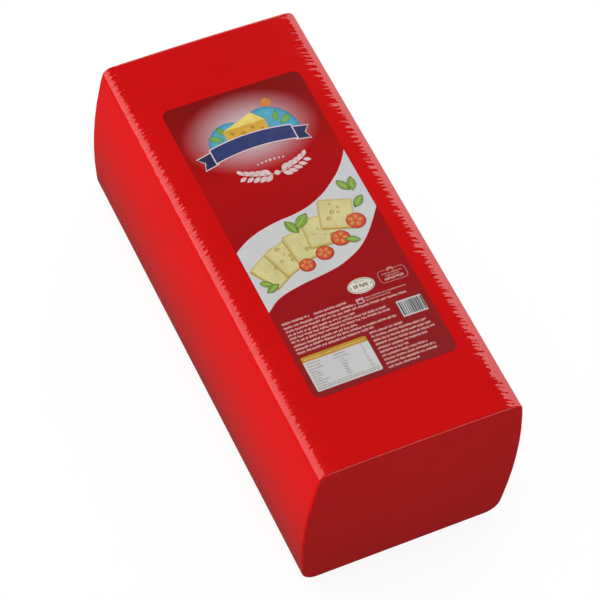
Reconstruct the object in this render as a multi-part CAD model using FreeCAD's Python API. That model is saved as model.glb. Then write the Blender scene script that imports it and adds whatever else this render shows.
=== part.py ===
import FreeCAD, Part
import math
import os
import random

# A bar of danbo cheese in a tight shrink film, with one printed label on its top face.
# The film is gathered along both long top edges, in a row of shallow uneven pleats.
# X runs across the bar, Y along it and Z up. The origin is the middle of the base.

# Driving dimensions of the bar, in millimetres.
bar_length = 260.0
top_width = 106.0        # between the corners that the shoulders round off
base_width = 107.4       # between the corners that the foot rounds off
shoulder_height = 98.9   # height of the top face at its long edges
top_crown = 0.8          # rise of the top face at its middle line
side_bulge = 4.2         # how far each long side barrels out at half height
shoulder_radius = 5.6    # long top edges
foot_radius = 8.6        # long bottom edges
end_radius = 1.2         # rim of each end, where the film is pulled over the cut face

# Driving dimensions of the pleats. Each is a shallow crease drawn over the shoulder.
pleats_per_side = 26
pleat_seed = 11
pleat_margin = 5.0                 # bare stretch at each end of the bar
pleat_wander = 0.32                # share of the pitch that a pleat may stray from its even place
pleat_depth = (0.16, 0.32)
pleat_spread = 2.6                 # half width of a crease for each millimetre of its depth
pleat_runout_inwards = (2.2, 5.0)  # degrees at which a crease climbs out of the top face
pleat_runout_down = (3.0, 6.0)     # degrees at which it climbs out of the side
pleat_skew = 7.0                   # degrees that a pleat may turn either way, seen from above
pleat_tail = 16.0                  # straight stretch past the shoulder, long enough to clear the film
pleat_clearance = 1.0              # how far the tool of a pleat stands proud of the film

# Driving dimensions of the label.
label_width = 76.2
label_length = 183.4
label_corner_radius = 4.0
label_thickness = 0.25
label_shift = (0.6, 1.2)  # the label sits this far off the middle of the top face

overall_height = shoulder_height + top_crown
half_length = bar_length / 2
place_tolerance = 0.001       # how exactly an edge is told by its place
cubic_mm_per_litre = 1e6


def arc(start, middle, end):
    """Edge through three points given as (across, up) at the near end of the bar."""
    points = [FreeCAD.Vector(x, -half_length, z) for x, z in (start, middle, end)]
    return Part.Arc(*points).toShape()


def line(start, end):
    """Straight edge between two points given as (across, up) at the near end."""
    points = [FreeCAD.Vector(x, -half_length, z) for x, z in (start, end)]
    return Part.makeLine(*points)


def side_arc(hand):
    """Barrelled side, on the right for a hand of 1 and on the left for -1."""
    belly = (base_width + top_width) / 4 + side_bulge
    points = [(base_width / 2, 0), (belly, shoulder_height / 2), (top_width / 2, shoulder_height)]
    return arc(*[(hand * across, up) for across, up in points])


def crown_arc():
    """Crowned top, from corner to corner."""
    corner = top_width / 2
    return arc((-corner, shoulder_height), (0, overall_height), (corner, shoulder_height))


def bar_section():
    """Sharp-cornered cross-section: flat base, barrelled sides and a crowned top."""
    base = line((-base_width / 2, 0), (base_width / 2, 0))
    return Part.Face(Part.Wire([base, side_arc(1), crown_arc(), side_arc(-1)]))


def long_edges(shape, height):
    """The two edges that run the whole length of the bar at one height."""
    found = []
    for edge in shape.Edges:
        box = edge.BoundBox
        runs_full_length = box.YLength > bar_length - place_tolerance
        if runs_full_length and abs(box.Center.z - height) < place_tolerance:
            found.append(edge)
    return found


def rim_edges(shape):
    """Every edge that lies in one of the two end faces."""
    return [edge for edge in shape.Edges if edge.BoundBox.YLength < place_tolerance]


def rounded_bar():
    """Section pushed along the bar's length, then shoulders, foot and end rims rounded."""
    bar = bar_section().extrude(FreeCAD.Vector(0, bar_length, 0))
    bar = bar.makeFillet(shoulder_radius, long_edges(bar, shoulder_height))
    bar = bar.makeFillet(foot_radius, long_edges(bar, 0))
    return bar.makeFillet(end_radius, rim_edges(bar))


def right_shoulder():
    """Axis of the right shoulder, and its turns from straight up where it meets crown and side."""
    circles = [crown_arc().Curve, side_arc(1).Curve]
    crown_path, side_path = [Part.Circle(c.Center, c.Axis, c.Radius - shoulder_radius) for c in circles]
    axis = max(crown_path.intersect(side_path), key=lambda point: point.Z)
    turns = [math.atan2(axis.X - c.Center.x, axis.Z - c.Center.z) for c in circles]
    return (axis.X, axis.Z), turns


def pleat_tool(axis, top_turn, side_turn, depth):
    """Blade bent over the right shoulder, whose straight tails climb out of the film."""
    keel_radius = shoulder_radius - depth

    def on_keel(turn, tail=0.0):
        """Point of the blade's keel on the bend, or on the tail that leaves the bend there."""
        across = axis[0] + keel_radius * math.sin(turn) + tail * math.cos(turn)
        up = axis[1] + keel_radius * math.cos(turn) - tail * math.sin(turn)
        return across, up

    keel = Part.Wire([
        line(on_keel(top_turn, -pleat_tail), on_keel(top_turn)),
        arc(on_keel(top_turn), on_keel((top_turn + side_turn) / 2), on_keel(side_turn)),
        line(on_keel(side_turn), on_keel(side_turn, pleat_tail)),
    ])
    tip = keel.Vertexes[0].Point
    outward = FreeCAD.Vector(math.sin(top_turn), 0, math.cos(top_turn))
    tall = depth + pleat_clearance
    wide = FreeCAD.Vector(0, pleat_spread * tall, 0)
    blade = Part.makePolygon([tip, tip + outward * tall - wide, tip + outward * tall + wide, tip])
    return keel.makePipeShell([blade], True, False)


def pleat_tools():
    """The blades of both shoulders, unevenly spaced, turned and sunk."""
    draw = random.Random(pleat_seed)
    axis, (top_border, side_border) = right_shoulder()
    upright = FreeCAD.Vector(0, 0, 1)
    pitch = (bar_length - 2 * pleat_margin) / pleats_per_side
    tools = []
    for mirrored in (False, True):
        for index in range(pleats_per_side):
            top_turn = top_border + math.radians(draw.uniform(*pleat_runout_inwards))
            side_turn = side_border - math.radians(draw.uniform(*pleat_runout_down))
            tool = pleat_tool(axis, top_turn, side_turn, draw.uniform(*pleat_depth))
            skew = draw.uniform(-pleat_skew, pleat_skew)
            tool.rotate(FreeCAD.Vector(axis[0], -half_length, 0), upright, skew)
            place = pleat_margin + pitch * (index + 0.5 + draw.uniform(-pleat_wander, pleat_wander))
            tool.translate(FreeCAD.Vector(0, place, 0))
            if mirrored:
                tool = tool.mirror(FreeCAD.Vector(0, 0, 0), FreeCAD.Vector(1, 0, 0))
            tools.append(tool)
    return tools


def wrapped_block():
    """The bar with its film gathered over both shoulders."""
    return rounded_bar().cut(pleat_tools())


def label():
    """Thin sheet with rounded corners that lies on the crown and bends with it."""
    crown = crown_arc().Curve
    spread = FreeCAD.Vector(0, bar_length, 0)

    def crown_disc(disc_radius):
        """Full-length cylinder whose upper skin is the crown, or runs parallel to it."""
        circle = Part.Circle(crown.Center, FreeCAD.Vector(0, 1, 0), disc_radius)
        return Part.Face(Part.Wire(circle.toShape())).extrude(spread)

    corner = FreeCAD.Vector(
        label_shift[0] - label_width / 2,
        label_shift[1] - label_length / 2,
        shoulder_height,
    )
    blank = Part.makeBox(label_width, label_length, 2 * top_crown, corner)
    uprights = [edge for edge in blank.Edges if edge.BoundBox.ZLength > top_crown]
    blank = blank.makeFillet(label_corner_radius, uprights)
    sheet = blank.common(crown_disc(crown.Radius + label_thickness))
    return sheet.cut(crown_disc(crown.Radius))


def write_node(name, shape):
    """Save one sub-part, after unwrapping the single solid that it holds."""
    solids = shape.Solids
    assert len(solids) == 1 and solids[0].isValid(), name
    solids[0].exportStep(os.path.join("parts", name + ".step"))
    print(name, "volume", round(solids[0].Volume / cubic_mm_per_litre, 4), "litres", solids[0].BoundBox)


os.makedirs("parts", exist_ok=True)
write_node("wrapped_block", wrapped_block())
write_node("label", label())
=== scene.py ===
import math
import random

import bmesh
import bpy
from mathutils import Matrix, Vector


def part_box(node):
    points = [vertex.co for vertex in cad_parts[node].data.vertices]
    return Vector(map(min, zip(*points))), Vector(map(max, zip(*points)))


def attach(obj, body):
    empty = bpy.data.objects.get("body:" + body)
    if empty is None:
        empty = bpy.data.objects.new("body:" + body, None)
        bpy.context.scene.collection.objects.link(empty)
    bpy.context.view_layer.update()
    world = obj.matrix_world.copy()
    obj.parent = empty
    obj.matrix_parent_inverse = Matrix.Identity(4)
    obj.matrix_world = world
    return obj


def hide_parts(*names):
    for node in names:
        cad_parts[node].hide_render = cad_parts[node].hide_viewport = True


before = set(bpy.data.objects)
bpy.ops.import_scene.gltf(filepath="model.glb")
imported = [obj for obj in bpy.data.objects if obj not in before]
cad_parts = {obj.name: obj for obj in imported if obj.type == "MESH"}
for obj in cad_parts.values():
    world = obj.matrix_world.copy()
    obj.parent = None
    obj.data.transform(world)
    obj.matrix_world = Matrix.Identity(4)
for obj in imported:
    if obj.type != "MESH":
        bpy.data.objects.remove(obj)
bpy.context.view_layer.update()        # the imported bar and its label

mm = 0.001
blockLow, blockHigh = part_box("wrapped_block")
labelLow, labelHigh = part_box("label")


def linear(hexColour):
    # sRGB hex to the linear RGBA that node sockets hold
    parts = [int(hexColour[i:i + 2], 16) / 255 for i in (1, 3, 5)]
    return [c / 12.92 if c <= 0.04045 else ((c + 0.055) / 1.055) ** 2.4 for c in parts] + [1.0]


def addNode(tree, kind, inputs=None, stops=None, **settings):
    # adds a node with its settings; an input is a value or the socket that feeds it
    node = tree.nodes.new(kind)
    for name, value in settings.items():
        setattr(node, name, value)
    for name, value in (inputs or {}).items():
        if isinstance(value, bpy.types.NodeSocket):
            tree.links.new(value, node.inputs[name])
        else:
            node.inputs[name].default_value = value
    if stops:
        elements = node.color_ramp.elements
        while len(elements) < len(stops):
            elements.new(0.5)
        for element, (place, hexColour) in zip(elements, stops):
            element.position = place
            element.color = linear(hexColour)
    return node


def newFinish(name, **sockets):
    # a material with one Principled shader; sockets are given by name with _ for a space
    finish = bpy.data.materials.new(name)
    finish.use_nodes = True
    tree = finish.node_tree
    shader = tree.nodes["Principled BSDF"]
    for socketName, value in sockets.items():
        shader.inputs[socketName.replace("_", " ")].default_value = value
    return finish, tree, shader


def vertsOf(geom):
    return [v for v in geom if isinstance(v, bmesh.types.BMVert)]


def everyPart(bm):
    return bm.verts[:] + bm.edges[:] + bm.faces[:]


def faceOutwards(bm):
    bmesh.ops.recalc_face_normals(bm, faces=bm.faces[:])


def toMetres(bm):
    bmesh.ops.scale(bm, vec=(mm, mm, mm), verts=bm.verts[:])


def makePiece(name, bm, finish, smooth=False):
    mesh = bpy.data.meshes.new(name)
    bm.to_mesh(mesh)
    bm.free()
    piece = bpy.data.objects.new(name, mesh)
    bpy.context.scene.collection.objects.link(piece)
    mesh.materials.append(finish)
    mesh.polygons.foreach_set("use_smooth", [smooth] * len(mesh.polygons))
    return piece


cameraSetup = {
    "azimuth": -31.241, "elevation": 55.386, "roll": 7.588,  # degrees
    "distance": 1.4854,
    "aimOffset": (-0.00445, -0.02186),  # origin's place right and up of the view's middle, in metres
    "lens": 172.14,
}


def makeCamera(setup):
    azimuth, elevation = math.radians(setup["azimuth"]), math.radians(setup["elevation"])
    back = Vector((math.sin(azimuth) * math.cos(elevation),
                   -math.cos(azimuth) * math.cos(elevation),
                   math.sin(elevation)))
    roll = Matrix.Rotation(math.radians(setup["roll"]), 3, "Z").to_quaternion()
    turned = (-back).to_track_quat("-Z", "Y") @ roll
    right, up = turned @ Vector((1, 0, 0)), turned @ Vector((0, 1, 0))
    aimRight, aimUp = setup["aimOffset"]
    camera = bpy.data.objects.new("camera", bpy.data.cameras.new("camera"))
    camera.data.lens = setup["lens"]
    camera.rotation_mode = "QUATERNION"
    camera.rotation_quaternion = turned
    camera.location = back * setup["distance"] - right * aimRight - up * aimUp
    bpy.context.scene.collection.objects.link(camera)
    bpy.context.scene.camera = camera


makeCamera(cameraSetup)
print("camera set")


skinShape = {
    "topWidth": 106.0,  # between the corners that the shoulders round off, all in millimetres
    "baseWidth": 107.4,
    "crown": 0.8,
    "sideBulge": 4.2,
    "shoulderRadius": 5.6,
    "footRadius": 8.6,
    "endRadius": 1.2,
    "endInset": 0.4,  # narrow frame round each flat end that keeps its rim crisp
    "rowPitch": 0.28,  # spacing of the mesh rows along the bar
    # mesh lines are closer this far up from the foot, down from the shoulder and in over the top
    "fineFoot": 4.0, "fineSide": 8.0, "fineCrown": 11.0,
}
# one entry for each shoulder, in millimetres
# pleats lie "pitch" apart and run "reach" in over the top face; past the start of the shoulder they
# keep their height for "hold" and lose it over "runout"
# "lean" carries a pleat off along the bar for each millimetre that it runs across
# "roll" is how wide the film turns down before the shoulder, and how far down near and far
# "hold" and "swell", which multiplies the height, also go from the near end to the far one
# "tuck" fills the bend out towards the far end, so that it turns tighter there
pleatShape = {
    # right shoulder: pleats run far in over the top and end just past the start of the shoulder
    1: {"seed": 12, "pitch": (1.4, 3.4), "width": (0.40, 0.75), "height": (0.05, 0.14),
        "reach": (3.5, 9.0), "hold": (-0.6, -0.6), "runout": 2.4, "lean": 0.34, "roll": (3.0, 0.42, -0.06),
        "swell": (1.95, 0.7), "tuck": 0.0},
    # left shoulder: pleats start near the edge and run round half the bend, or most of it far off
    -1: {"seed": 10, "pitch": (1.1, 2.6), "width": (0.42, 0.75), "height": (0.05, 0.13),
         "reach": (1.0, 3.0), "hold": (3.0, 6.0), "runout": 1.6, "lean": 0.12, "roll": (4.5, 0.14, 0.34),
         "swell": (1.0, 1.2), "tuck": 0.42},
}
gather = {
    "depth": 16.0,  # the film is shaped down to here below the top
    "inboard": 10.0,  # and this far in from the shoulder
    "nearby": 6.0,  # a pleat farther off along the bar than this adds nothing
    "rollEnd": 9.0,  # the roll's drop is gone this far past the start of the shoulder
    "bendLength": 8.6,  # length of the arc round the shoulder
    "endFade": 1.5,  # pleats die away this close to both ends
    "leanSpread": (0.6, 1.4),
    "taper": 1.5,  # power by which a pleat thins out over the top face
}
labelThickness = 0.25
blockTop = labelHigh.z / mm - labelThickness
blockLength = (blockHigh.y - blockLow.y) / mm


def circleThrough(a, b, c):
    # centre and radius of the circle through three points given as (across, up)
    toB, toC = (b[0] - a[0], b[1] - a[1]), (c[0] - a[0], c[1] - a[1])
    squareB, squareC = toB[0] ** 2 + toB[1] ** 2, toC[0] ** 2 + toC[1] ** 2
    d = 2 * (toB[0] * toC[1] - toB[1] * toC[0])
    x = (toC[1] * squareB - toB[1] * squareC) / d
    z = (toB[0] * squareC - toC[0] * squareB) / d
    return (a[0] + x, a[1] + z), math.hypot(x, z)


def roundedCorner(centre1, reach1, centre2, reach2):
    # upper meeting point of two circles: the centre of a round that touches both from inside
    dx, dz = centre2[0] - centre1[0], centre2[1] - centre1[1]
    gap = math.hypot(dx, dz)
    along = (reach1 ** 2 - reach2 ** 2 + gap ** 2) / (2 * gap)
    off = math.sqrt(reach1 ** 2 - along ** 2)
    return centre1[0] + (along * dx - off * dz) / gap, centre1[1] + (along * dz + off * dx) / gap


def sectionCircles(shape):
    # centre and radius of each arc of the right half of the cross-section
    topHalf, baseHalf = shape["topWidth"] / 2, shape["baseWidth"] / 2
    height = blockTop - shape["crown"]
    belly = (topHalf + baseHalf) / 2 + shape["sideBulge"]
    side, sideRadius = circleThrough((topHalf, height), (belly, height / 2), (baseHalf, 0))
    crownRadius = (topHalf ** 2 + shape["crown"] ** 2) / (2 * shape["crown"])
    crown = (0.0, blockTop - crownRadius)
    footRadius, shoulderRadius = shape["footRadius"], shape["shoulderRadius"]
    footX = side[0] + math.sqrt((sideRadius - footRadius) ** 2 - (footRadius - side[1]) ** 2)
    shoulder = roundedCorner(side, sideRadius - shoulderRadius, crown, crownRadius - shoulderRadius)
    return {"side": (side, sideRadius), "crown": (crown, crownRadius),
            "foot": ((footX, footRadius), footRadius), "shoulder": (shoulder, shoulderRadius)}


circles = sectionCircles(skinShape)


def crownHeight(x):
    # height of the top face at this distance from its middle line
    (_, z), radius = circles["crown"]
    return z + math.sqrt(radius ** 2 - x ** 2)


def angleFrom(centre, point):
    return math.atan2(point[1] - centre[1], point[0] - centre[0])


def barBlank(shape):
    # cross-section spun arc by arc, pushed along the bar, with rounded rims at both ends
    bm = bmesh.new()
    (side, sideRadius), (crown, crownRadius) = circles["side"], circles["crown"]
    foot, shoulder = circles["foot"][0], circles["shoulder"][0]
    footEnd, shoulderStart = angleFrom(side, foot), angleFrom(side, shoulder)
    crownStart = angleFrom(crown, shoulder)
    fineFoot, fineSide = shape["fineFoot"] / sideRadius, shape["fineSide"] / sideRadius
    fineCrown = shape["fineCrown"] / crownRadius
    # centre, start, end and number of steps of each arc, from the base up to the middle of the top
    arcs = [
        (foot, -math.pi / 2, footEnd, 7),
        (side, footEnd, footEnd + fineFoot, 2),
        (side, footEnd + fineFoot, shoulderStart - fineSide, 6),
        (side, shoulderStart - fineSide, shoulderStart, 5),
        (shoulder, shoulderStart, crownStart, 12),
        (crown, crownStart, crownStart + fineCrown, 14),
        (crown, crownStart + fineCrown, math.pi / 2, 2),
    ]
    tip = bm.verts.new((foot[0], 0.0, 0.0))
    for centre, start, end, steps in arcs:
        spun = bmesh.ops.spin(bm, geom=[tip], cent=(centre[0], 0.0, centre[1]), axis=(0, -1, 0),
                              angle=end - start, steps=steps)
        tip = vertsOf(spun["geom_last"])[0]
    bmesh.ops.mirror(bm, geom=bm.verts[:] + bm.edges[:], axis="X", merge_dist=0.01)
    bm.edges.new([v for v in bm.verts if len(v.link_edges) == 1])
    bmesh.ops.translate(bm, verts=bm.verts[:], vec=(0, -blockLength / 2, 0))
    nearLoop = bm.edges[:]
    pushed = bmesh.ops.extrude_edge_only(bm, edges=nearLoop)["geom"]
    bmesh.ops.translate(bm, verts=vertsOf(pushed), vec=(0, blockLength, 0))
    farLoop = [e for e in bm.edges if min(v.co.y for v in e.verts) > 0]
    for loop in (nearLoop, farLoop):
        bmesh.ops.contextual_create(bm, geom=loop)
    faceOutwards(bm)
    bmesh.ops.bevel(bm, geom=nearLoop + farLoop, offset=shape["endRadius"], offset_type="OFFSET",
                    segments=5, profile=0.5, affect="EDGES", clamp_overlap=False, material=-1)
    lengthways = [e for e in bm.edges if abs(e.verts[0].co.y - e.verts[1].co.y) > blockLength / 2]
    bmesh.ops.subdivide_edges(bm, edges=lengthways, cuts=round(blockLength / shape["rowPitch"]))
    return bm


def makePleats(shape):
    rng = random.Random(shape["seed"])
    pleats = []
    y = -blockLength / 2
    while y < blockLength / 2:
        pleats.append({
            "y": y,
            "width": rng.uniform(*shape["width"]),
            "height": rng.uniform(*shape["height"]) * rng.choice((-1, 1)),
            "reach": rng.triangular(*shape["reach"], shape["reach"][0]),
            "lean": shape["lean"] * rng.uniform(*gather["leanSpread"]),
        })
        y += rng.uniform(*shape["pitch"])
    return pleats


def acrossShoulder(x, z):
    # distance from where the shoulder begins, outwards and down, and the way the film faces there
    (cx, cz), radius = circles["shoulder"]
    if z > cz and x > cx:
        turn = math.atan2(x - cx, z - cz)
        return radius * turn, (math.sin(turn), math.cos(turn))
    if z > cz:
        return x - cx, (0.0, 1.0)
    return radius * math.pi / 2 + cz - z, (1.0, 0.0)


def shoulderForm(shape, along, far):
    # the film's plain form under its pleats; far goes from 0 at the near end to 1 at the far end
    rollWidth, nearDrop, farDrop = shape["roll"]
    rollDrop = nearDrop + (farDrop - nearDrop) * far
    # the slope grows up to the start of the shoulder and eases off over half the roll's width
    past = min(0.5, max(0.0, along / rollWidth))
    roll = min(1.0, max(0.0, along / rollWidth + 1)) ** 2 + 2 * past - 2 * past ** 2
    lift = -rollDrop * roll * max(0.0, 1 - max(0.0, along) / gather["rollEnd"])
    bend = math.sin(math.pi * min(1.0, max(0.0, along / gather["bendLength"]))) ** 2
    return lift + shape["tuck"] * max(0.0, 2 * far - 1) ** 2 * bend


def gatherFilm(bm, shape):
    # the film is gathered across both shoulders: its pleats fade out on the top face
    pleats = {side: makePleats(shape[side]) for side in (-1, 1)}
    near = {}
    for v in bm.verts:
        if v.co.z < blockTop - gather["depth"]:
            continue
        side = 1 if v.co.x > 0 else -1
        along, out = acrossShoulder(abs(v.co.x), v.co.z)
        if along < -gather["inboard"]:
            continue
        key = (side, round(v.co.y, 2))
        if key not in near:
            near[key] = [p for p in pleats[side] if abs(p["y"] - v.co.y) < gather["nearby"]]
        far = v.co.y / blockLength + 0.5
        swell = shape[side]["swell"][0] * (1 - far) + shape[side]["swell"][1] * far
        hold = shape[side]["hold"][0] * (1 - far) + shape[side]["hold"][1] * far
        lift = shoulderForm(shape[side], along, far)
        for p in near[key]:
            if along < -p["reach"]:
                continue
            inward = (1 + min(0.0, along) / p["reach"]) ** gather["taper"]
            outward = min(1.0, max(0.0, 1 - (along - hold) / shape[side]["runout"]))
            offCentre = (v.co.y - p["y"] + p["lean"] * along) / p["width"]
            lift += swell * p["height"] * inward * outward * math.exp(-offCentre ** 2)
        fade = min(1.0, (blockLength / 2 - abs(v.co.y)) / gather["endFade"])
        v.co += Vector((side * out[0], 0, out[1])) * lift * fade


skin = barBlank(skinShape)
gatherFilm(skin, pleatShape)
# only the two flat ends have more than four sides
ends = [f for f in skin.faces if len(f.verts) > 4]
bmesh.ops.inset_region(skin, faces=ends, thickness=skinShape["endInset"], use_even_offset=True)
faceOutwards(skin)
toMetres(skin)
print("film gathered over", len(skin.faces), "faces")


plasticIor = 1.5
filmLook = {
    "roughness": 0.09,
    "reds": [(0.3, "#C90A0C"), (0.7, "#CE0B0D")],
    "cloudSize": 40.0,  # millimetres
}


def shrinkFilmFinish():
    # polyolefin film dyed red and heat-shrunk on: the eye gets one deep, opaque red with clear pale
    # reflections that only the pleats break up, and hardly any change of colour from place to place
    finish, tree, shader = newFinish("shrinkFilm", Roughness=filmLook["roughness"], IOR=plasticIor)
    place = addNode(tree, "ShaderNodeTexCoord").outputs["Object"]
    scale = 1 / (filmLook["cloudSize"] * mm)
    cloud = addNode(tree, "ShaderNodeTexNoise", {"Vector": place, "Scale": scale, "Detail": 2.0})
    colour = addNode(tree, "ShaderNodeValToRGB", {"Fac": cloud.outputs["Fac"]}, stops=filmLook["reds"])
    tree.links.new(colour.outputs["Color"], shader.inputs["Base Color"])
    return finish


filmSkin = makePiece("filmSkin", skin, shrinkFilmFinish(), smooth=True)
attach(filmSkin, "root")
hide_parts("wrapped_block")
print("film skin made")


labelShape = {
    "corner": 4.0,
    "sheetLift": 0.10,  # upper skin of the sheet above the film, in millimetres
    "sheetUnder": -0.02,
    "inkStep": 0.012,  # one layer of print above the next
    "overlap": -0.004,  # lower one of two shapes of the same ink that overlap
    "columns": 5.0,  # flat shapes are cut this often so that they bend with the crown
}
labelLook = {
    "roughness": 0.12,
    # red of the print at places along the label in millimetres, from the near end to the far one, with a
    # painted pale reflection that greys it towards the near end
    "printedRedAndSheen": [(-90, "#8A2022"), (-65, "#8F1E20"), (-43, "#96151A"), (-28, "#9B1317"), (-12, "#991216"),
               (0, "#980F12"), (11, "#A20D12"), (26, "#AA0B12"), (40, "#AD0C0F"), (52, "#A30A0D"),
               (72, "#8F0D0F"), (90, "#800C0C")],
    "glow": "#C7C0C2",
    "glowMiddle": (-0.3, 65.5), "glowReach": (37.2, 26.0),
    "screenCurve": 2.2,
}
# printing inks under the gloss: darker and lighter hex of their slight unevenness, its size in mm
inks = {
    "coolWhiteInk": ("#C4C4C6", "#C9C9C9", 14.0),  # opaque white, a little cold by the red
    "paleEdgeInk": ("#DDC4C2", "#E2CBC9", 4.0),  # thin white, the red shows through
    "fadedPinkInk": ("#CE9E9C", "#D6ACA9", 5.0),  # white so fine that the red tints it
    "goldInk": ("#B28518", "#BF9022", 6.0),  # flat ochre with no shine of metal
    "paleGoldInk": ("#CDB57A", "#D6C08A", 5.0),  # fine pale print on the ochre
    "oliveInk": ("#7C7256", "#877C60", 5.0),  # fine dark print, greyed by white
    "creamInk": ("#D4CEC0", "#DCD8CB", 5.0),  # warm off-white
    "darkOliveInk": ("#6E643E", "#7A7048", 4.0),  # brownish print on the cream
    "roseInk": ("#BC8A86", "#C89894", 4.0),  # thin white lines, half lost in the red
    "darkStripeInk": ("#252B2A", "#303634", 3.0),  # near black under the gloss
    "orangeInk": ("#C26E26", "#CC7A30", 4.0),  # flat, muted orange
    "deepCheeseInk": ("#C99A2E", "#D3A63A", 4.0),  # cut face in shade
    "lightCheeseInk": ("#DCC658", "#E6D26C", 4.0),  # lit top of the wedge
    "holeShadeInk": ("#A87A1E", "#B38527", 2.0),  # brown of a deep hole
    "shadedNavyInk": ("#161F4A", "#1B2555", 4.0),  # ribbon where it folds back
    "navyInk": ("#1E2A62", "#26336E", 5.0),  # flat dark blue
    "warmWhiteInk": ("#CDB4B2", "#D6C2C0", 3.0),  # white with a breath of red
    "sliceEdgeInk": ("#A88A34", "#B29440", 3.0),  # drier, darker rim of a slice
    "eyeShadowInk": ("#A3914C", "#AC9A54", 2.0),  # shaded side of a hole
    "eyeLightInk": ("#BBAD66", "#C2B56E", 2.0),  # lit floor of a hole
    "tomatoSkinInk": ("#A82A14", "#B23118", 3.0),  # deep red rim
    "veinInk": ("#9DBB62", "#A8C36F", 2.0),  # pale midrib
}
# inks that run from a hex at the rim of a shape to another well inside it, and their grain in mm
shadedInks = {
    "skyBlueInk": ("#2C7FA6", "#4FA3C0", 6.0),  # hazy blue with a firm edge
    "meadowGreenInk": ("#4F8A36", "#73A850", 4.0),  # flat fresh green
    "sliceInk": ("#BFAE60", "#D4CA8E", 9.0),  # pale butter colour, warmer at the rim
    "tomatoFleshInk": ("#BE3A1A", "#CC5228", 2.0),  # orange red, lighter in the middle
    "tomatoPulpInk": ("#C8602F", "#D88A50", 2.0),  # wet, paler pockets
    "leafInk": ("#4E7416", "#7FA23A", 2.0),  # leaf with light in its middle
}
inkRoughness = 0.3
shadedGrain = ("#F0F0F0", "#FFFFFF")
mixedInks = {}
swoosh = {
    "upper": [(-38.0, -0.6), (-29.5, 4.5), (-20.0, 7.8), (-10.8, 9.5), (-1.4, 10.4), (8.0, 12.6),
              (17.4, 17.0), (23.6, 21.4), (29.9, 26.7), (36.1, 33.9), (38.8, 38.3)],
    "lower": [(-38.0, -37.8), (-29.5, -31.8), (-17.0, -28.6), (-1.4, -26.6), (6.8, -24.9),
              (14.3, -22.0), (20.5, -18.6), (26.8, -13.3), (31.8, -7.7), (38.8, 1.1)],
    "left": -37.3, "right": 38.5,
    "outline": 0.35,
}
labelMiddle = (labelLow + labelHigh) / 2 / mm
labelSize = (labelHigh - labelLow) / mm


def cutColumns(bm):
    xs = [v.co.x for v in bm.verts]
    step = labelShape["columns"]
    column = math.floor(min(xs) / step) * step + step
    while column < max(xs):
        bmesh.ops.bisect_plane(bm, geom=everyPart(bm), dist=1e-5,
                               plane_co=(column, 0, 0), plane_no=(1, 0, 0))
        column += step


def bendWithCrown(bm, lift):
    # lays flat shapes this far above the crowned top and turns them to metres
    for v in bm.verts:
        v.co.z += crownHeight(v.co.x) + lift
    toMetres(bm)


def addPrint(name, bm, ink, layer):
    if ink not in mixedInks:
        mixedInks[ink] = shadedInk(ink) if ink in shadedInks else inkFinish(ink)
    cutColumns(bm)
    bendWithCrown(bm, labelShape["sheetLift"] + layer * labelShape["inkStep"])
    piece = makePiece(name, bm, mixedInks[ink], smooth=True)
    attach(piece, "root")


def printShape(name, ink, layer, add, *place, **how):
    # one flat shape that is a piece of its own
    bm = bmesh.new()
    add(bm, *place, **how)
    addPrint(name, bm, ink, layer)


def placeFlat(bm, verts, x, y, turn, lift):
    matrix = Matrix.Rotation(math.radians(turn), 3, "Z")
    bmesh.ops.rotate(bm, verts=verts, cent=(0, 0, 0), matrix=matrix)
    bmesh.ops.translate(bm, verts=verts, vec=(x, y, lift))
    return verts


def addPlate(bm, x, y, width, height, corner=0.0, turn=0.0, lift=0.0):
    # flat rectangle round its middle, with rounded corners where asked
    made = bmesh.ops.create_grid(bm, x_segments=1, y_segments=1, size=0.5)["verts"]
    bmesh.ops.scale(bm, vec=(width, height, 1), verts=made)
    if corner:
        made = bmesh.ops.bevel(bm, geom=made, offset=corner, segments=5, profile=0.5,
                               affect="VERTICES", material=-1)["verts"]
    return placeFlat(bm, made, x, y, turn, lift)


def addDisc(bm, x, y, width, height, turn=0.0, segments=28, lift=0.0):
    made = bmesh.ops.create_circle(bm, cap_ends=True, segments=segments, radius=0.5)["verts"]
    bmesh.ops.scale(bm, vec=(width, height, 1), verts=made)
    return placeFlat(bm, made, x, y, turn, lift)


def addLeaf(bm, x, y, length, width, turn=0.0, lift=0.0):
    # pointed at both ends
    made = bmesh.ops.create_circle(bm, cap_ends=True, segments=20, radius=1.0)["verts"]
    for v in made:
        v.co.y *= abs(v.co.y) * width / 2
        v.co.x *= length / 2
    return placeFlat(bm, made, x, y, turn, lift)


def between(points, x):
    # height of a smooth line through its points, by cubic steps from point to point
    for i in range(len(points) - 1):
        if x <= points[i + 1][0] or i == len(points) - 2:
            break
    before = points[max(0, i - 1)]
    (x0, y0), (x1, y1) = points[i], points[i + 1]
    after = points[min(len(points) - 1, i + 2)]
    slope0 = (y1 - before[1]) / (x1 - before[0])
    slope1 = (after[1] - y0) / (after[0] - x0)
    width = x1 - x0
    t = (x - x0) / width
    return ((2 * t ** 3 - 3 * t ** 2 + 1) * y0 + (t ** 3 - 2 * t ** 2 + t) * width * slope0
            + (3 * t ** 2 - 2 * t ** 3) * y1 + (t ** 3 - t ** 2) * width * slope1)


def addSwoosh(bm, grow):
    # a band between the two border lines, grown or shrunk by some millimetres
    made = bmesh.ops.create_grid(bm, x_segments=48, y_segments=1, size=0.5)["verts"]
    left, right = swoosh["left"] - min(grow, 0.0), swoosh["right"] + min(grow, 0.0)
    for v in made:
        x = left + (v.co.x + 0.5) * (right - left)
        if v.co.y > 0:
            y = between(swoosh["upper"], x) + grow
        else:
            y = between(swoosh["lower"], x) - grow
        v.co = Vector((x, y, 0))


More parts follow.
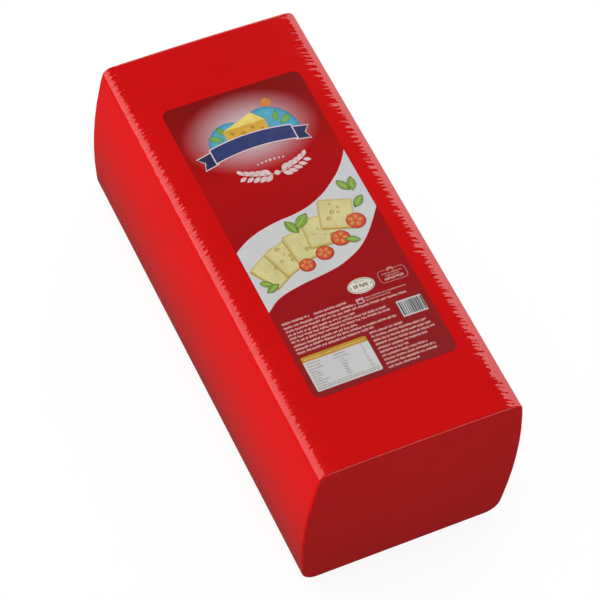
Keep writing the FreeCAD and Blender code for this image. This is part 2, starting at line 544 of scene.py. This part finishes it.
def mottle(tree, hexDark, hexLight, grain):
    # faint unevenness of printed ink; grain is its size in millimetres
    place = addNode(tree, "ShaderNodeTexCoord").outputs["Object"]
    noise = addNode(tree, "ShaderNodeTexNoise", {"Vector": place, "Scale": 1 / (grain * mm), "Detail": 2.0})
    return addNode(tree, "ShaderNodeValToRGB", {"Fac": noise.outputs["Fac"]},
                   stops=[(0.35, hexDark), (0.65, hexLight)]).outputs["Color"]


def inkFinish(name):
    finish, tree, shader = newFinish(name, Roughness=inkRoughness, IOR=plasticIor)
    tree.links.new(mottle(tree, *inks[name]), shader.inputs["Base Color"])
    return finish


def shadedInk(name):
    # shadeRims gives the mesh its "shade": 1 inside and 0 at the rim
    hexRim, hexInner, grain = shadedInks[name]
    finish, tree, shader = newFinish(name, Roughness=inkRoughness, IOR=plasticIor)
    shade = addNode(tree, "ShaderNodeAttribute", attribute_name="shade").outputs["Fac"]
    rim = addNode(tree, "ShaderNodeValToRGB", {"Fac": shade}, stops=[(0.0, hexRim), (1.0, hexInner)])
    grainy = mottle(tree, *shadedGrain, grain)
    mixed = addNode(tree, "ShaderNodeMix", data_type="RGBA", blend_type="MULTIPLY")
    mixed.inputs["Factor"].default_value = 1.0
    tree.links.new(rim.outputs["Color"], mixed.inputs["A"])
    tree.links.new(grainy, mixed.inputs["B"])
    tree.links.new(mixed.outputs["Result"], shader.inputs["Base Color"])
    return finish


def labelFinish():
    # gloss-laminated film, printed: the eye gets a dark wine red that lifts towards the middle, a pale
    # oval glow on it and soft, broad reflections; towards the near end the red is greyed by a painted
    # reflection
    finish, tree, shader = newFinish("printedGlossFilm", Roughness=labelLook["roughness"], IOR=plasticIor)
    place = addNode(tree, "ShaderNodeTexCoord").outputs["Object"]
    along = addNode(tree, "ShaderNodeSeparateXYZ", {"Vector": place}).outputs["Y"]
    share = addNode(tree, "ShaderNodeMapRange",
                    {"Value": along, "From Min": labelLow.y, "From Max": labelHigh.y})
    spread = (labelHigh.y - labelLow.y) / mm
    # the print's red along the label, with its painted pale reflection at the near end
    stops = [((y - labelLow.y / mm) / spread, colour) for y, colour in labelLook["printedRedAndSheen"]]
    red = addNode(tree, "ShaderNodeValToRGB", {"Fac": share.outputs["Result"]}, stops=stops)
    oval = addNode(tree, "ShaderNodeMapping", {"Vector": place}, vector_type="TEXTURE")
    (x, y), (wide, tall) = labelLook["glowMiddle"], labelLook["glowReach"]
    oval.inputs["Location"].default_value = (x * mm, y * mm, blockTop * mm)
    oval.inputs["Scale"].default_value = (wide * mm, tall * mm, 1.0)
    sphere = addNode(tree, "ShaderNodeVectorMath", {0: oval.outputs["Vector"], 1: oval.outputs["Vector"]},
                     operation="DOT_PRODUCT")
    glow = addNode(tree, "ShaderNodeMath", {0: 1.0, 1: sphere.outputs["Value"]},
                   operation="SUBTRACT", use_clamp=True)
    # the glow is blended as the eye sees it, so both colours pass through the screen's own curve
    curve = labelLook["screenCurve"]
    redSeen = addNode(tree, "ShaderNodeGamma", {"Color": red.outputs["Color"], "Gamma": 1 / curve})
    pale = addNode(tree, "ShaderNodeMix", data_type="RGBA")
    pale.inputs["B"].default_value = [c ** (1 / curve) for c in linear(labelLook["glow"])]
    tree.links.new(glow.outputs["Value"], pale.inputs["Factor"])
    tree.links.new(redSeen.outputs["Color"], pale.inputs["A"])
    back = addNode(tree, "ShaderNodeGamma", {"Color": pale.outputs["Result"], "Gamma": curve})
    tree.links.new(back.outputs["Color"], shader.inputs["Base Color"])
    return finish


def makeLabelSheet():
    bm = bmesh.new()
    addPlate(bm, labelMiddle.x, labelMiddle.y, labelSize.x, labelSize.y, corner=labelShape["corner"])
    cutColumns(bm)
    walls = bmesh.ops.extrude_face_region(bm, geom=bm.faces[:])["geom"]
    thickness = labelShape["sheetLift"] - labelShape["sheetUnder"]
    bmesh.ops.translate(bm, verts=vertsOf(walls), vec=(0, 0, thickness))
    faceOutwards(bm)
    bendWithCrown(bm, labelShape["sheetUnder"])
    sheet = makePiece("printedLabel", bm, labelFinish())
    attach(sheet, "root")
    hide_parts("label")


makeLabelSheet()
print("label sheet laid on the film")

printShape("swooshOutline", "paleEdgeInk", 1, addSwoosh, swoosh["outline"])
printShape("swooshField", "coolWhiteInk", 2, addSwoosh, 0.0)


# rows of plain marks stand for print: height, width of a mark, gap in a group, gap between groups
markKinds = {
    "small": (1.25, (0.42, 0.62), 0.24, 0.75),
    "fine": (0.75, (0.3, 0.4), 0.3, 0.6),
    "header": (0.8, (0.35, 0.5), 0.3, 0.7),
    "facts": (0.7, (0.3, 0.45), 0.28, 0.6),
    "footnote": (0.6, (0.3, 0.4), 0.25, 0.6),
    "ovalTitle": (2.3, (0.7, 1.0), 0.3, 1.0),
    "ovalRim": (0.6, (0.3, 0.4), 0.25, 0.5),
    "pill": (0.75, (0.35, 0.5), 0.25, 0.5),
    "pillTitle": (1.5, (0.7, 1.0), 0.25, 0.5),
}
markGroup = (2, 9)           # marks in a group
markShare = (0.72, 1.0)      # of the full height
smallPrint = {
    "seed": 5,
    # each line: left end, right end and height on the label
    "lines": [(-34.5, -19.5, -46.4), (-17.6, -0.4, -46.4), (-34.5, 3.6, -48.8), (-34.5, 29.9, -51.0),
              (-34.5, 2.1, -53.3), (-34.5, 16.4, -55.4), (-34.5, 17.7, -57.5), (-34.5, -1.0, -59.8),
              (-34.5, 19.0, -61.9), (-34.5, 6.4, -64.1),
              (2.4, 20.5, -66.6), (2.4, 31.8, -68.9), (2.4, 33.0, -71.3), (2.4, 33.8, -73.6),
              (2.4, 29.3, -76.0), (2.4, 17.4, -78.3), (2.4, 26.4, -80.6), (2.4, 29.8, -82.9),
              (2.4, 29.3, -85.2), (2.4, 19.6, -87.5)],
    "fineLines": [(9.3, 31.4, -47.3), (9.3, 22.7, -48.8)],
}


def addMarks(bm, rng, start, end, y, kind):
    # a row of short plain marks in groups, as dense as print of this size but without any letters
    height, stroke, gap, wordGap = markKinds[kind]
    x = start
    while x < end:
        for _ in range(rng.randint(*markGroup)):
            width = rng.uniform(*stroke)
            if x + width > end:
                return
            tall = height * rng.uniform(*markShare)
            addPlate(bm, x + width / 2, y - (height - tall) / 2 * rng.choice((-1, 1)), width, tall)
            x += width + gap
        x += wordGap - gap


def addRows(bm, rng, x, y, rows):
    # rows of marks by their ends and height from a middle
    for start, end, up, kind in rows:
        addMarks(bm, rng, x + start, x + end, y + up, kind)


def makeSmallPrint():
    rng = random.Random(smallPrint["seed"])
    bm = bmesh.new()
    for kind, lines in (("small", smallPrint["lines"]), ("fine", smallPrint["fineLines"])):
        for start, end, y in lines:
            addMarks(bm, rng, start, end, y, kind)
    addPrint("smallPrint", bm, "fadedPinkInk", 1)


makeSmallPrint()


factsPanel = {
    "seed": 23,
    "left": -34.5, "right": -0.2, "top": -66.9, "bottom": -87.3, "corner": 0.9,
    "header": 3.1, "headerMargin": 1.2, "headerRow": 1.75,
    "rows": [-71.3, -73.0, -74.7, -76.2, -77.7, -79.1, -80.6, -82.0, -83.4],
    # first column from its left end, second to both sides of its middle, third from its left end
    "names": (-33.4, (3.5, 8.0)),
    "amounts": (-15.7, (0.8, 1.6)), "wideRows": 2, "wideAmounts": (3.0, 4.7),
    "shares": (-4.6, (0.6, 2.0)),
    "footnotes": [-85.0, -86.1], "footnoteEnds": (-33.6, -1.1),
}


def makeFactsPanel():
    p = factsPanel
    middle, width = (p["left"] + p["right"]) / 2, p["right"] - p["left"]
    printShape("factsPanel", "coolWhiteInk", 1, addPlate, middle, (p["top"] + p["bottom"]) / 2, width,
               p["top"] - p["bottom"], corner=p["corner"])
    bm = bmesh.new()
    addPlate(bm, middle, p["top"] - p["header"] / 2, width, p["header"], corner=p["corner"])
    addPlate(bm, middle, p["top"] - p["header"] + p["corner"] / 2, width, p["corner"],
             lift=labelShape["overlap"])
    addPrint("factsHeader", bm, "goldInk", 2)
    rng = random.Random(p["seed"])
    bm = bmesh.new()
    margin = p["headerMargin"]
    addMarks(bm, rng, p["left"] + margin, p["right"] - margin, p["top"] - p["headerRow"], "header")
    addPrint("headerMarks", bm, "paleGoldInk", 3)
    bm = bmesh.new()
    (nameStart, nameLength), (amountMiddle, amountReach) = p["names"], p["amounts"]
    shareStart, shareLength = p["shares"]
    for i, y in enumerate(p["rows"]):
        addMarks(bm, rng, nameStart, nameStart + rng.uniform(*nameLength), y, "facts")
        reach = rng.uniform(*(p["wideAmounts"] if i < p["wideRows"] else amountReach))
        addMarks(bm, rng, amountMiddle - reach, amountMiddle + reach, y, "facts")
        addMarks(bm, rng, shareStart, shareStart + rng.uniform(*shareLength), y, "facts")
    for y in p["footnotes"]:
        addMarks(bm, rng, *p["footnoteEnds"], y, "footnote")
    addPrint("factsMarks", bm, "oliveInk", 3)


makeFactsPanel()


def addRing(bm, verts, thickness):
    # keeps only a band of this width along the rim of a flat shape just made
    face = next(f for f in bm.faces if all(v in f.verts for v in verts))
    bmesh.ops.inset_individual(bm, faces=[face], thickness=thickness, use_even_offset=True)
    bmesh.ops.delete(bm, geom=[face], context="FACES")


def addArch(bm, x, y, inner, outer):
    # half a ring, standing on its two feet
    feet = [bm.verts.new((x + r, y, 0)) for r in (inner, outer)]
    rung = bm.edges.new(feet)
    bmesh.ops.spin(bm, geom=feet + [rung], cent=(x, y, 0), axis=(0, 0, 1), angle=math.pi, steps=12)


badges = {
    "seed": 31,
    # middle, width and height of each; rows by both ends and height from that middle
    "oval": (10.7, -40.0, 14.2, 8.8), "ovalMargin": 0.9, "ovalLine": 0.28,
    "ovalRows": [(-3.9, 4.1, 0.0, "ovalTitle"), (-2.6, 2.8, 2.5, "ovalRim"), (-2.6, 2.8, -2.5, "ovalRim")],
    "dotPlace": 5.4, "dotSize": 0.9,
    "pill": (28.0, -39.5, 14.8, 7.3), "pillCorner": 2.0, "pillLine": 0.22,
    "pillRows": [(-5.4, 5.4, 1.45, "pill"), (-3.8, 4.0, 0.1, "pill"), (-5.1, 5.3, -1.6, "pillTitle")],
    "archDrop": 1.0, "archRadii": (1.1, 1.9),
    "codeBox": (28.65, -59.6, 13.2, 9.5), "codeMargins": (0.7, 0.9, 1.6),  # left, right, off the height
    "strokes": (0.3, 0.45, 0.8), "strokeGaps": (0.35, 0.45, 0.7),
    "letterIcon": (6.4, -48.0, 3.8, 2.9), "iconLine": 0.35,
    "flap": (0.58, 0.32, 0.12, 32),  # share of the width, thickness, rise as a share of the height, turn
}


def makeBadges():
    b = badges
    rng = random.Random(b["seed"])
    x, y, width, height = b["oval"]
    printShape("ovalBadge", "creamInk", 1, addDisc, x, y, width, height, segments=48)
    bm = bmesh.new()
    addRing(bm, addDisc(bm, x, y, width - b["ovalMargin"], height - b["ovalMargin"], segments=48),
            b["ovalLine"])
    addRows(bm, rng, x, y, b["ovalRows"])
    for side in (-1, 1):
        addDisc(bm, x + side * b["dotPlace"], y, b["dotSize"], b["dotSize"], segments=10)
    addPrint("ovalBadgeMarks", bm, "darkOliveInk", 2)
    x, y, width, height = b["pill"]
    bm = bmesh.new()
    addRing(bm, addPlate(bm, x, y, width, height, corner=b["pillCorner"]), b["pillLine"])
    addRows(bm, rng, x, y, b["pillRows"])
    addArch(bm, x, y + height / 2 - b["archDrop"], *b["archRadii"])
    addPrint("pillBadge", bm, "roseInk", 1)
    x, y, width, height = b["codeBox"]
    printShape("stripeBox", "coolWhiteInk", 1, addPlate, x, y, width, height)
    bm = bmesh.new()
    leftMargin, rightMargin, heightMargin = b["codeMargins"]
    across = x - width / 2 + leftMargin
    while across < x + width / 2 - rightMargin:
        stroke = rng.choice(b["strokes"])
        addPlate(bm, across + stroke / 2, y, stroke, height - heightMargin)
        across += stroke + rng.choice(b["strokeGaps"])
    addPrint("stripes", bm, "darkStripeInk", 2)
    x, y, width, height = b["letterIcon"]
    length, thickness, rise, turn = b["flap"]
    bm = bmesh.new()
    addRing(bm, addPlate(bm, x, y, width, height), b["iconLine"])
    for side in (-1, 1):
        addPlate(bm, x + side * width / 4, y + height * rise, width * length, thickness, turn=-side * turn)
    addPrint("letterIcon", bm, "paleEdgeInk", 1)


makeBadges()
print("small print, panel and badges laid")


emblem = {
    "hills": [(-10.5, 27.0, 29.0, 0.0), (9.5, 31.0, 35.0, 0.006)],  # place across, width, height, lift
    "hillFoot": 60.0, "hillRim": 2.2,
    "sun": (14.5, 79.5, 5.6),
    # middle, length and turn of each leaf
    "leaves": [(-18.5, 67.0, 8, 150), (-14.0, 70.5, 7, 115), (19.5, 66.5, 8, 30), (15.5, 70.0, 7, 65)],
    "leafWidth": 0.5, "leafRim": 0.6,  # the width is a share of the length
    "wedge": (-2.0, 70.0, 23.0, 6.8),  # middle of the edge between top and cut face, length, height
    "wedgeTip": (0.28, 0.95),  # shares of length and height
    "holes": [(-7.4, -2.8, 2.4), (-1.9, -4.4, 2.9), (3.8, -2.4, 2.2), (8.2, -4.6, 1.8)],
    "holeSquash": 0.86,
}
ribbon = {
    "x": -2.0, "y": 57.6, "width": 44.0, "height": 8.4, "rise": 2.4, "edge": 0.6,
    "tailLength": 8.0, "tailShare": 0.9, "tailNotch": 2.4, "tailEdge": 0.55,
    "tailPlace": (0.4, 1.0, 12),  # in from the ribbon's end, down, and turn
}


def shadeRims(bm, thickness):
    # a "shade" of 0 at every rim and 1 once well inside, for ink that is darker at its edge
    layer = bm.verts.layers.float.new("shade")
    rims = set(bm.verts)
    bmesh.ops.inset_individual(bm, faces=bm.faces[:], thickness=thickness, use_even_offset=True)
    for v in bm.verts:
        v[layer] = 0.0 if v in rims else 1.0


def makeHills():
    # two round hills cut off behind the ribbon, a low sun and some leaves
    foot = emblem["hillFoot"]
    bm = bmesh.new()
    for x, width, height, lift in emblem["hills"]:
        addDisc(bm, x, foot, width, height, segments=48, lift=lift)
    bmesh.ops.bisect_plane(bm, geom=everyPart(bm), clear_inner=True,
                           plane_co=(0, foot, 0), plane_no=(0, 1, 0))
    shadeRims(bm, emblem["hillRim"])
    addPrint("hills", bm, "skyBlueInk", 1)
    x, y, across = emblem["sun"]
    printShape("lowSun", "orangeInk", 2, addDisc, x, y, across, across, segments=36)
    bm = bmesh.new()
    for x, y, length, turn in emblem["leaves"]:
        addLeaf(bm, x, y, length, length * emblem["leafWidth"], turn=turn)
    shadeRims(bm, emblem["leafRim"])
    addPrint("emblemLeaves", bm, "meadowGreenInk", 2)


def makeWedge():
    # a plain wedge of cheese: lit top, cut face in shade and a few holes
    x, y, length, height = emblem["wedge"]
    printShape("wedgeCutFace", "deepCheeseInk", 3, addPlate, x, y - height, length, 2 * height)
    bm = bmesh.new()
    bmesh.ops.create_circle(bm, cap_ends=True, segments=3, radius=1.0)
    tipAcross, tipUp = emblem["wedgeTip"]
    corners = [(x - length / 2, y), (x + length / 2, y), (x + length * tipAcross, y + height * tipUp)]
    for v, corner in zip(bm.verts, corners):
        v.co = Vector((*corner, 0))
    faceOutwards(bm)
    addPrint("wedgeTop", bm, "lightCheeseInk", 3)
    bm = bmesh.new()
    for across, up, size in emblem["holes"]:
        addDisc(bm, x + across, y + up, size, size * emblem["holeSquash"])
    addPrint("wedgeHoles", bm, "holeShadeInk", 4)


def makeRibbon():
    # a blank ribbon with a pale outline, bowed upwards, and two tails behind it
    x, y, width, height = ribbon["x"], ribbon["y"], ribbon["width"], ribbon["height"]
    tuckedIn, down, turn = ribbon["tailPlace"]

    def band(bm, grow):
        made = bmesh.ops.create_grid(bm, x_segments=24, y_segments=1, size=0.5)["verts"]
        for v in made:
            across = v.co.x * (width + 2 * grow)
            bow = ribbon["rise"] * (1 - (2 * across / width) ** 2)
            v.co = Vector((x + across, y + bow + v.co.y * (height + 2 * grow), 0))

    def tail(bm, side, grow):
        made = bmesh.ops.create_grid(bm, x_segments=1, y_segments=2, size=0.5)["verts"]
        for v in made:
            notch = ribbon["tailNotch"] if v.co.x > 0 and abs(v.co.y) < 0.1 else 0.0
            out = (v.co.x + 0.5) * (ribbon["tailLength"] + grow) - notch
            v.co = Vector((side * out, v.co.y * (height * ribbon["tailShare"] + 2 * grow), 0))
        placeFlat(bm, made, x + side * (width / 2 - tuckedIn), y - down, -side * turn, 0.0)

    tails, paleTails = bmesh.new(), bmesh.new()
    for side in (-1, 1):
        tail(tails, side, 0.0)
        tail(paleTails, side, ribbon["tailEdge"])
    for bm in (tails, paleTails):
        faceOutwards(bm)
    addPrint("ribbonTailEdge", paleTails, "paleEdgeInk", 4)
    addPrint("ribbonTails", tails, "shadedNavyInk", 5)
    printShape("ribbonEdge", "paleEdgeInk", 6, band, ribbon["edge"])
    printShape("ribbonBand", "navyInk", 7, band, 0.0)


sprig = {
    "x": 1.5, "y": 37.0, "start": 3.4, "leaves": 5, "spacing": 3.1, "bend": 0.035,
    "leafAhead": 1.6, "leafOff": 2.1, "leafTurn": 36,
    "leafLength": 5.4, "leafWidth": 2.7, "shorter": 0.3, "narrower": 0.12,  # loss from pair to pair
    "stem": 0.5, "stemOverlap": 0.3,
    "knot": (0.1, 3.0),  # height above the stems and size
    # beads to each side of the middle one, their spacing, height, sag, size and loss of size
    "beads": 3, "beadSpacing": 2.3, "beadHeight": 8.6, "beadSag": 0.06, "beadSize": 1.5, "beadLoss": 0.16,
}


def makeSprig():
    # two leafy sprigs that meet below the ribbon, with a row of beads above them
    s = sprig
    bm = bmesh.new()
    for side in (-1, 1):
        for i in range(s["leaves"]):
            along = s["start"] + i * s["spacing"]
            rise = s["bend"] * along ** 2 / 2
            length, width = s["leafLength"] - i * s["shorter"], s["leafWidth"] - i * s["narrower"]
            for up in (-1, 1):
                addLeaf(bm, side * (along + s["leafAhead"]) + s["x"], s["y"] + rise + up * s["leafOff"],
                        length, width, turn=side * (up * s["leafTurn"] + along))
            addPlate(bm, side * along + s["x"], s["y"] + rise, s["spacing"] + s["stemOverlap"], s["stem"],
                     turn=side * along * 2, lift=labelShape["overlap"])
    knotUp, knotSize = s["knot"]
    addDisc(bm, s["x"], s["y"] + knotUp, knotSize, knotSize)
    for i in range(-s["beads"], s["beads"] + 1):
        size = s["beadSize"] - abs(i) * s["beadLoss"]
        addDisc(bm, s["x"] + i * s["beadSpacing"], s["y"] + s["beadHeight"] - s["beadSag"] * i * i,
                size, size, segments=16)
    faceOutwards(bm)
    addPrint("titleSprig", bm, "warmWhiteInk", 1)


makeHills()
makeWedge()
makeRibbon()
makeSprig()


serving = {
    "seed": 8,
    "slice": 17.5, "sliceCorner": 1.2, "sliceRim": 1.3,
    "edgeShift": (0.45, 0.8),  # how far the cut edge shows to the left and below
    # middle and turn of each square slice, the lowest first
    "slices": [(-24.0, -15.0, 30), (-14.5, -11.0, 19), (-4.0, -7.5, 7), (7.0, -3.0, -5), (18.0, 3.5, -17)],
    "eyes": (4, 8),  # round holes in a slice
    "eyeSizes": (0.9, 1.3, 1.9, 3.0),
    "eyeSquash": 0.85,
    "eyeTurn": 2.4, "eyeSway": 0.4,  # each hole lies this much round from the last, in radians
    "eyeStart": 1.4, "eyeStep": 0.85,  # and this much farther out
    "eyeLight": (0.1, 0.72, 0.58),  # lit floor of a hole: shift down right, width and height
    "tomatoes": [(-8.5, -19.0, 8.6), (2.5, -15.6, 9.4), (13.5, -10.4, 10.2), (25.0, -3.6, 10.6)],
    "squash": 0.9,  # tomato slices are seen a little from the side
    "skinShift": (0.15, 0.35), "skinWidth": 0.9, "fleshRim": 0.8,
    # pockets of pulp in a ring: how far out, width and height as shares, and turn with the slice's size
    "pockets": 5, "pocketOut": 0.24, "pocketSize": (0.27, 0.2), "pocketTurn": 20, "pocketRim": 0.35,
    "leaves": [(-6.0, 4.0, 10, 115), (0.0, 5.6, 11, 40), (33.0, 17.5, 9, 75), (28.5, 18.0, 9, 120),
               (-29.5, -25.5, 8, 200), (-31.5, -22.0, 7, 150), (31.5, 6.5, 9, 40), (19.0, -13.5, 8, -25)],
    "leafWidth": 0.52, "leafLift": (0, 0.008), "leafRim": 0.7,
    "vein": (0.86, 0.5),  # share of the leaf's length, and its width
}


def makeSlices(rng):
    s = serving
    size, corner = s["slice"], s["sliceCorner"]
    left, down = s["edgeShift"]
    shift, wide, tall = s["eyeLight"]
    # each slice takes four quarter layers
    for i, (x, y, turn) in enumerate(s["slices"]):
        layer = 3 + i
        printShape("sliceEdge%d" % (i + 1), "sliceEdgeInk", layer, addPlate, x - left, y - down, size, size,
                   corner=corner, turn=turn)
        bm = bmesh.new()
        addPlate(bm, x, y, size, size, corner=corner, turn=turn)
        shadeRims(bm, s["sliceRim"])
        addPrint("slice%d" % (i + 1), bm, "sliceInk", layer + 0.25)
        eyes, lights = bmesh.new(), bmesh.new()
        for k in range(rng.randint(*s["eyes"])):
            angle = k * s["eyeTurn"] + rng.uniform(-s["eyeSway"], s["eyeSway"])
            away = s["eyeStart"] + k * s["eyeStep"]
            across = rng.choice(s["eyeSizes"])
            ex, ey = x + away * math.cos(angle), y + away * math.sin(angle)
            addDisc(eyes, ex, ey, across, across * s["eyeSquash"], segments=20)
            addDisc(lights, ex + shift * across, ey - shift * across, across * wide, across * tall,
                    segments=20)
        addPrint("sliceEyes%d" % (i + 1), eyes, "eyeShadowInk", layer + 0.5)
        addPrint("sliceEyeLights%d" % (i + 1), lights, "eyeLightInk", layer + 0.75)


def makeTomatoes():
    s = serving
    squash, skinWidth = s["squash"], s["skinWidth"]
    right, down = s["skinShift"]
    pocketWide, pocketTall = s["pocketSize"]
    skins, discs, cells = bmesh.new(), bmesh.new(), bmesh.new()
    for x, y, across in s["tomatoes"]:
        addDisc(skins, x + right, y - down, across, across * squash, segments=36)
        addDisc(discs, x, y, across - skinWidth, across * squash - skinWidth, segments=36)
        for k in range(s["pockets"]):
            turn = k * 360 / s["pockets"] + across * s["pocketTurn"]
            out = across * s["pocketOut"]
            cx = x + out * math.cos(math.radians(turn))
            cy = y + squash * out * math.sin(math.radians(turn))
            addDisc(cells, cx, cy, across * pocketWide, across * pocketTall, turn=turn, segments=16)
    shadeRims(discs, s["fleshRim"])
    shadeRims(cells, s["pocketRim"])
    addPrint("tomatoSkins", skins, "tomatoSkinInk", 7)
    addPrint("tomatoDiscs", discs, "tomatoFleshInk", 8)
    addPrint("tomatoCells", cells, "tomatoPulpInk", 9)


def makeLeaves(rng):
    veinShare, veinWidth = serving["vein"]
    leaves, veins = bmesh.new(), bmesh.new()
    for x, y, length, turn in serving["leaves"]:
        addLeaf(leaves, x, y, length, length * serving["leafWidth"], turn=turn,
                lift=rng.uniform(*serving["leafLift"]))
        addLeaf(veins, x, y, length * veinShare, veinWidth, turn=turn)
    shadeRims(leaves, serving["leafRim"])
    addPrint("leaves", leaves, "leafInk", 10)
    addPrint("leafVeins", veins, "veinInk", 11)


def makeServing():
    rng = random.Random(serving["seed"])
    makeSlices(rng)
    makeTomatoes()
    makeLeaves(rng)


makeServing()
print("emblem, sprig and serving picture laid")


stageLook = {
    "floorRadius": 3.0,  # metres
    "floorSeen": "#707070", "floorGlow": 0.88, "floorBounce": "#AAAAAA",
    "worldSeen": 1.0, "worldLight": 0.075,
}


def splitByCamera(tree, other, seen):
    # one shader for what the camera sees, the other for every other ray
    ray = addNode(tree, "ShaderNodeLightPath")
    inputs = {0: ray.outputs["Is Camera Ray"], 1: other.outputs[0], 2: seen.outputs[0]}
    return addNode(tree, "ShaderNodeMixShader", inputs).outputs[0]


def floorFinish():
    # matt white card: the eye gets a floor as pale as the backdrop with a soft shadow at the foot of
    # the bar, while the bar gets only a grey bounce from it
    finish = bpy.data.materials.new("paleFloor")
    finish.use_nodes = True
    tree = finish.node_tree
    tree.nodes.clear()
    matt = addNode(tree, "ShaderNodeBsdfDiffuse", {"Color": linear(stageLook["floorSeen"])})
    lift = addNode(tree, "ShaderNodeEmission", {"Strength": stageLook["floorGlow"]})
    seen = addNode(tree, "ShaderNodeAddShader", {0: matt.outputs[0], 1: lift.outputs[0]})
    bounced = addNode(tree, "ShaderNodeBsdfDiffuse", {"Color": linear(stageLook["floorBounce"])})
    addNode(tree, "ShaderNodeOutputMaterial", {"Surface": splitByCamera(tree, bounced, seen)})
    return finish


def makeFloor():
    bm = bmesh.new()
    bmesh.ops.create_circle(bm, cap_ends=True, segments=96, radius=stageLook["floorRadius"])
    floor = makePiece("floor", bm, floorFinish())
    floor.visible_glossy = False


def makeWorld():
    # white behind the bar, but dim as a light, so that the film doesn't mirror a white room
    world = bpy.data.worlds.new("studio")
    bpy.context.scene.world = world
    world.use_nodes = True
    tree = world.node_tree
    tree.nodes.clear()
    white = linear("#FFFFFF")
    dim, seen = (addNode(tree, "ShaderNodeBackground", {"Color": white, "Strength": stageLook[s]})
                 for s in ("worldLight", "worldSeen"))
    addNode(tree, "ShaderNodeOutputWorld", {"Surface": splitByCamera(tree, dim, seen)})


# each window is an upright wall of panes, in metres and degrees: azimuth counts from +Y towards +X,
# a pane has the elevations of its upper and lower edge and its radiance
windows = {
    "leftWindow": {"azimuth": -48, "distance": 2.0, "halfSpan": 40, "panes": [(50, -16, 1.5)]},
    "rightWindow": {"azimuth": 50, "distance": 2.0, "halfSpan": 46,
                    "panes": [(45.5, 34, 2.1), (34, 18, 1.7), (18, 0, 1.25), (0, -14, 0.8),
                              (-14, -62, 0.5)]},
    "frontWindow": {"azimuth": 165, "distance": 2.0, "halfSpan": 30, "panes": [(48, 2, 1.1)]},
}
# soft boxes even out the side, the end and the top; they stay out of the reflections
softBoxes = {
    "leftBox": {"azimuth": -90, "elevation": 0, "distance": 0.35, "aim": (-0.05, 0, 0.074),
                "size": (0.7, 0.12), "spread": 30, "radiance": 26.6},
    "rightBox": {"azimuth": 90, "elevation": 0, "distance": 0.35, "aim": (0.05, 0, 0.07),
                 "size": (0.7, 0.12), "spread": 30, "radiance": 5.0},
    "endBox": {"azimuth": 180, "elevation": 10, "distance": 0.7, "aim": (0, -0.13, 0.11),
               "size": (0.3, 0.12), "spread": 20, "radiance": 7.7},
    "topBox": {"azimuth": -90, "elevation": 80, "distance": 0.8, "aim": (0, 0, 0.10),
               "size": (0.7, 0.3), "spread": 120, "radiance": 2.55},
}
lampCentre = Vector((0, 0, 0.09))


def addLamp(name, place, aim, size, radiance, spread=180, mirrored=True):
    # an area lamp of this peak radiance; a narrow spread sends less light out in all
    lamp = bpy.data.objects.new(name, bpy.data.lights.new(name, "AREA"))
    lamp.data.shape = "RECTANGLE"
    lamp.data.size, lamp.data.size_y = size
    half = math.radians(spread) / 2
    share = 1 - half / math.tan(half) if spread < 180 else 1.0
    lamp.data.energy = 4 * radiance * size[0] * size[1] * share
    lamp.data.spread = 2 * half
    lamp.location = place
    lamp.rotation_mode = "QUATERNION"
    lamp.rotation_quaternion = (aim - place).to_track_quat("-Z", "Y")
    lamp.visible_camera = False
    lamp.visible_glossy = mirrored
    bpy.context.scene.collection.objects.link(lamp)


def lightScene():
    for name, w in windows.items():
        a = math.radians(w["azimuth"])
        out = Vector((math.sin(a), math.cos(a), 0)) * w["distance"]
        width = 2 * w["distance"] * math.tan(math.radians(w["halfSpan"]))
        for i, (upper, lower, radiance) in enumerate(w["panes"]):
            top, bottom = (w["distance"] * math.tan(math.radians(e)) for e in (upper, lower))
            place = lampCentre + out + Vector((0, 0, (top + bottom) / 2))
            addLamp("%s%d" % (name, i + 1), place, place - out, (width, top - bottom), radiance)
    for name, b in softBoxes.items():
        a, e = math.radians(b["azimuth"]), math.radians(b["elevation"])
        away = Vector((math.sin(a) * math.cos(e), math.cos(a) * math.cos(e), math.sin(e))) * b["distance"]
        addLamp(name, lampCentre + away, Vector(b["aim"]), b["size"], b["radiance"], b["spread"],
                mirrored=False)


makeFloor()
makeWorld()
lightScene()
bpy.context.scene.view_settings.view_transform = "Standard"
print("stage lit")
